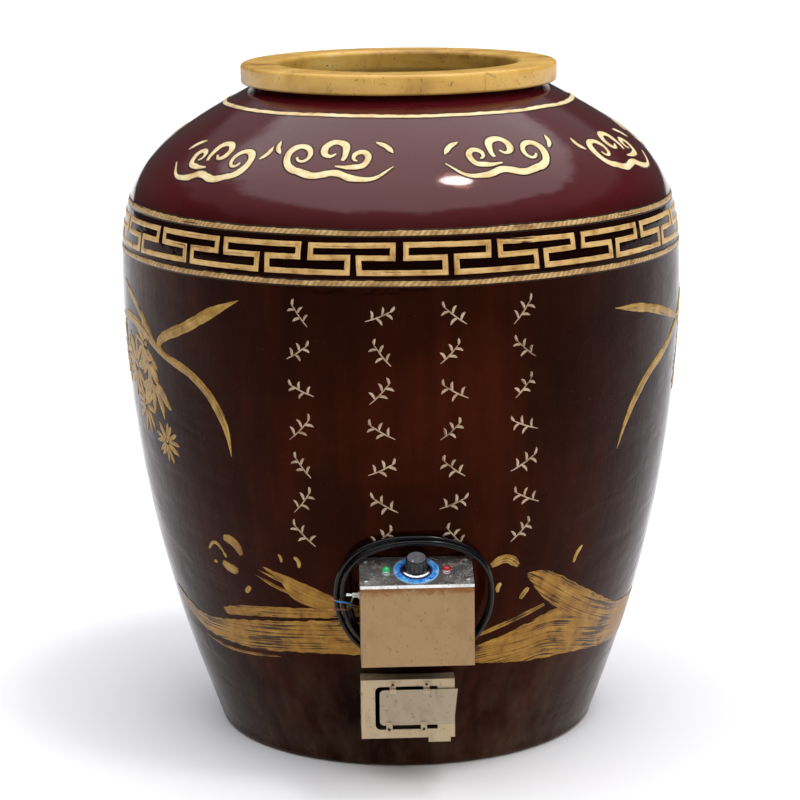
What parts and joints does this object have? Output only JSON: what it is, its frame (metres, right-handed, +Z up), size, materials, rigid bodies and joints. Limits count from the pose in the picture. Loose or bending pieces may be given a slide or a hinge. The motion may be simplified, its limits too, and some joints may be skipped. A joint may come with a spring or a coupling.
{
  "type": "earthenware soup crock",
  "caption": "Tall glazed stoneware crock with a thick rim, a heater and thermostat box at its foot, a coiled flex, a sliding ash port and a turning rack inside.",
  "frame": {"origin": "centre of the flat base, on the ground", "axes": "+Z up, the control box and the ash port towards -Y"},
  "size_m": [0.8, 0.8281, 0.9565],
  "materials": {
    "glaze": "glossy dark glaze",
    "tan_steel": "dusty, with rust at the edges",
    "grey_steel": "dull galvanised",
    "bright_steel": "polished",
    "zinc": "zinc plated",
    "chrome": "polished",
    "iron": "blackened",
    "heater_steel": "heat darkened",
    "copper": "bare copper",
    "brass": "turned",
    "ceramic": "unglazed",
    "black_plastic": "satin",
    "grey_plastic": "satin",
    "blue_plate": "printed aluminium plate",
    "green_lens": "clear coloured",
    "red_lens": "clear coloured",
    "rubber": "smooth sheath",
    "brown_sleeve": "satin",
    "blue_sleeve": "satin",
    "earth_sleeve": "satin, striped"
  },
  "bodies": {
    "root": {"crock_body": "glaze", "port_frame": "grey_steel", "damper_guide_1": "grey_steel", "damper_guide_2": "grey_steel", "damper_guide_3": "grey_steel", "damper_guide_4": "grey_steel", "box_back_plate": "tan_steel", "box_case": "tan_steel", "control_panel": "bright_steel", "panel_screw_1": "zinc", "panel_screw_2": "zinc", "panel_screw_3": "zinc", "panel_screw_4": "zinc", "box_bolt_left": "zinc", "box_bolt_right": "zinc", "bolt_spacer_left": "zinc", "bolt_spacer_right": "zinc", "bolt_nut_left": "zinc", "bolt_nut_right": "zinc", "lead_sleeve": "zinc", "thermostat_body": "zinc", "dial_ring": "blue_plate", "green_lamp_lens": "green_lens", "green_lamp_body": "black_plastic", "red_lamp_lens": "red_lens", "red_lamp_body": "black_plastic", "toggle_body": "zinc", "toggle_nut": "zinc", "element_tube": "heater_steel", "element_bushing": "ceramic", "sensor_bulb": "copper", "sensor_clip": "zinc", "terminal_block": "ceramic", "cable_gland": "rubber", "power_cord_lead": "rubber", "power_cord_coil": "rubber", "power_cord_tail": "rubber", "blue_core": "blue_sleeve", "brown_core": "brown_sleeve", "earth_core": "earth_sleeve", "rack_base": "iron", "thrust_washer": "brass"},
    "knob": {"thermostat_shaft": "zinc", "knob_skirt": "bright_steel", "thermostat_knob": "black_plastic", "knob_cap": "grey_plastic"},
    "toggle": {"toggle_lever": "chrome"},
    "damper": {"damper_plate": "grey_steel"},
    "rack": {"rack_post": "iron", "post_cap": "iron", "tier_spider_1": "iron", "tier_spider_2": "iron", "tier_spider_3": "iron", "shelf_1_back": "iron", "shelf_1_front": "iron", "shelf_2_back": "iron", "shelf_2_front": "iron", "shelf_3_back": "iron", "shelf_3_front": "iron"}
  },
  "joints": [
    {"name": "knob_turn", "type": "hinge", "parent": "root", "child": "knob", "pos_m": [0, -0.39727, 0.31955], "axis": [0, -0.342, 0.9397], "range_deg": [-300, 0]},
    {"name": "toggle_tip", "type": "hinge", "parent": "root", "child": "toggle", "pos_m": [-0.0825, -0.40527, 0.29], "axis": [0, 0, 1], "range_deg": [0, 25]},
    {"name": "damper_slide", "type": "slide", "parent": "root", "child": "damper", "axis": [1, 0, 0], "range_m": [0, 0.055]},
    {"name": "rack_turn", "type": "hinge", "parent": "root", "child": "rack", "pos_m": [0, 0, 0], "axis": [0, 0, 1], "continuous": true}
  ]
}
